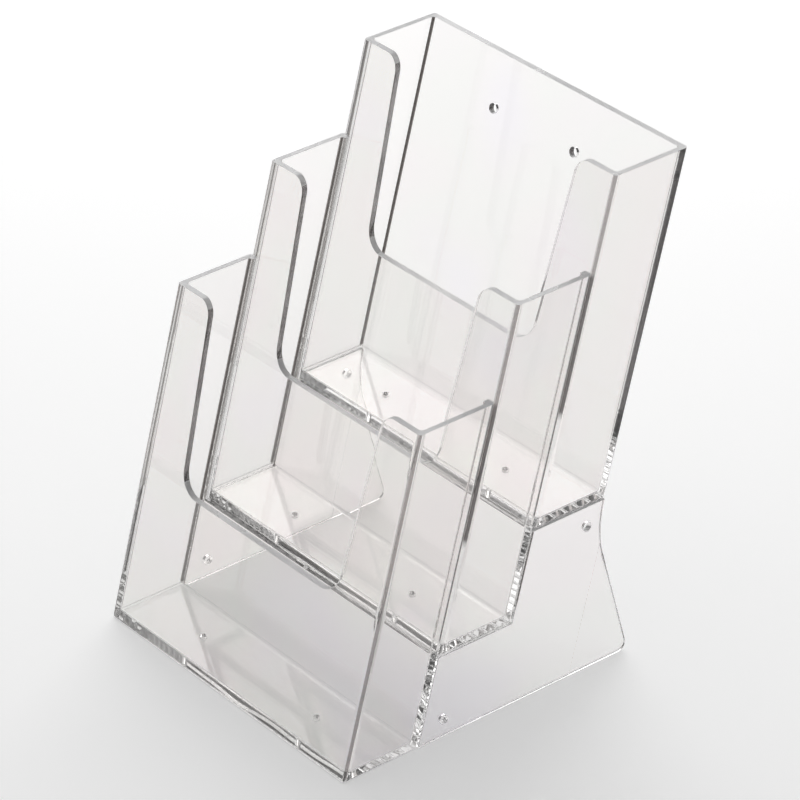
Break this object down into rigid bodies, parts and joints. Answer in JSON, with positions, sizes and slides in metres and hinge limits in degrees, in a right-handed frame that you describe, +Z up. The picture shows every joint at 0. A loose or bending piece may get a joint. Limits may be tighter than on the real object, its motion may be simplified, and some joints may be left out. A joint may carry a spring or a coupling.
{
  "type": "brochure rack",
  "caption": "Clear plastic countertop brochure rack with leaning stepped pockets, U-cut fronts and a flared stand.",
  "frame": {"origin": "middle of the bounding box in X and Y, on the surface the rack stands on", "axes": "+X to the right seen from the front, +Y to the rear, +Z up; the pocket openings face -Y"},
  "size_m": [0.158, 0.1792, 0.2278],
  "materials": {
    "clear_polystyrene": "clear, polished"
  },
  "bodies": {
    "root": {"front_pocket": "clear_polystyrene", "middle_pocket": "clear_polystyrene", "rear_pocket": "clear_polystyrene", "left_stand_side": "clear_polystyrene", "right_stand_side": "clear_polystyrene"}
  },
  "joints": []
}
